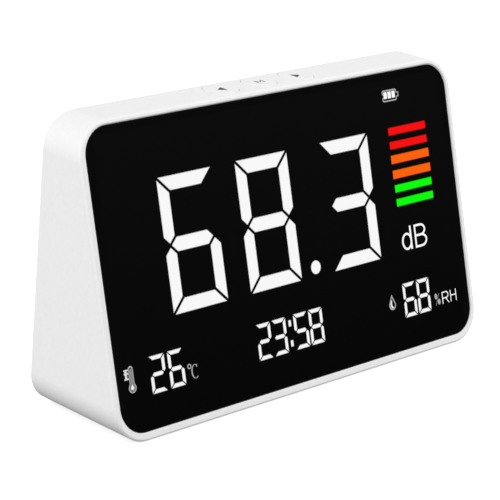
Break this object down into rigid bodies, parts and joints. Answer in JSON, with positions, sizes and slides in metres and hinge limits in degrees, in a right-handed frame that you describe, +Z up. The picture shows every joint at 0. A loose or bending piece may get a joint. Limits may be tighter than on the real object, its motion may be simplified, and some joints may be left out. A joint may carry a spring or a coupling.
{
  "type": "sound level meter",
  "caption": "Desktop sound level meter: wedge-shaped white case with a leaning black digital display, push buttons on its top and a screwed rear cover.",
  "frame": {"origin": "on the ground under the middle of the case, level with the undersides of the rubber feet", "axes": "+Z up, the display looks towards -Y and leans back, +X to the right as seen from the front"},
  "size_m": [0.15, 0.0398, 0.0865],
  "materials": {
    "white_abs": "fine satin moulded white ABS",
    "black_panel": "polished black acrylic",
    "foam_tape": "double-sided foam tape",
    "reflector_white": "opaque white light box",
    "circuit_board": "green solder mask",
    "screw_steel": "plated self-tapping screws",
    "led_white": "phosphor-filled lamps",
    "chip_black": "moulded black packages",
    "connector_cream": "natural nylon connectors",
    "bright_steel": "nickel-plated drawn shell",
    "capsule_aluminium": "drawn capsule can",
    "rubber_black": "matt black rubber",
    "battery_foil": "silver pouch foil",
    "diffuser_white": "milky diffuser, lit white",
    "diffuser_green": "milky diffuser, lit green",
    "diffuser_orange": "milky diffuser, lit orange",
    "diffuser_red": "milky diffuser, lit red",
    "lead_jacket": "soft black lead jacket",
    "plunger_black": "moulded black plunger"
  },
  "bodies": {
    "case": {"case_shell": "white_abs", "back_cover": "white_abs", "front_panel": "black_panel", "panel_tape": "foam_tape", "reflector_housing": "reflector_white", "display_board": "circuit_board", "key_board": "circuit_board", "power_board": "circuit_board", "climate_board": "circuit_board", "display_screws": "screw_steel", "cover_screws": "screw_steel", "cover_board_screws": "screw_steel", "key_screws": "screw_steel", "display_leds": "led_white", "display_chips": "chip_black", "power_chips": "chip_black", "switch_bodies": "chip_black", "climate_sensor": "chip_black", "usb_socket_tongue": "chip_black", "board_headers": "connector_cream", "lead_plugs": "connector_cream", "usb_socket_shell": "bright_steel", "microphone_capsule": "capsule_aluminium", "microphone_boot": "rubber_black", "rubber_feet": "rubber_black", "battery_cell": "battery_foil", "battery_tape": "foam_tape", "main_digit_diffusers": "diffuser_white", "decimal_point_diffuser": "diffuser_white", "temperature_diffusers": "diffuser_white", "clock_diffusers": "diffuser_white", "humidity_diffusers": "diffuser_white", "green_level_diffusers": "diffuser_green", "orange_level_diffusers": "diffuser_orange", "red_level_diffusers": "diffuser_red", "power_lead": "lead_jacket", "climate_lead": "lead_jacket", "battery_lead": "lead_jacket", "microphone_lead": "lead_jacket", "key_lead": "lead_jacket"},
    "previous_key": {"previous_button": "white_abs", "previous_switch_plunger": "plunger_black"},
    "mode_key": {"mode_button": "white_abs", "mode_switch_plunger": "plunger_black"},
    "next_key": {"next_button": "white_abs", "next_switch_plunger": "plunger_black"}
  },
  "joints": [
    {"name": "previous_button_press", "type": "slide", "parent": "case", "child": "previous_key", "axis": [0, 0, -1], "range_m": [0, 0.0004], "stiffness_N_per_m": 4000},
    {"name": "mode_button_press", "type": "slide", "parent": "case", "child": "mode_key", "axis": [0, 0, -1], "range_m": [0, 0.0004], "stiffness_N_per_m": 4000},
    {"name": "next_button_press", "type": "slide", "parent": "case", "child": "next_key", "axis": [0, 0, -1], "range_m": [0, 0.0004], "stiffness_N_per_m": 4000}
  ]
}
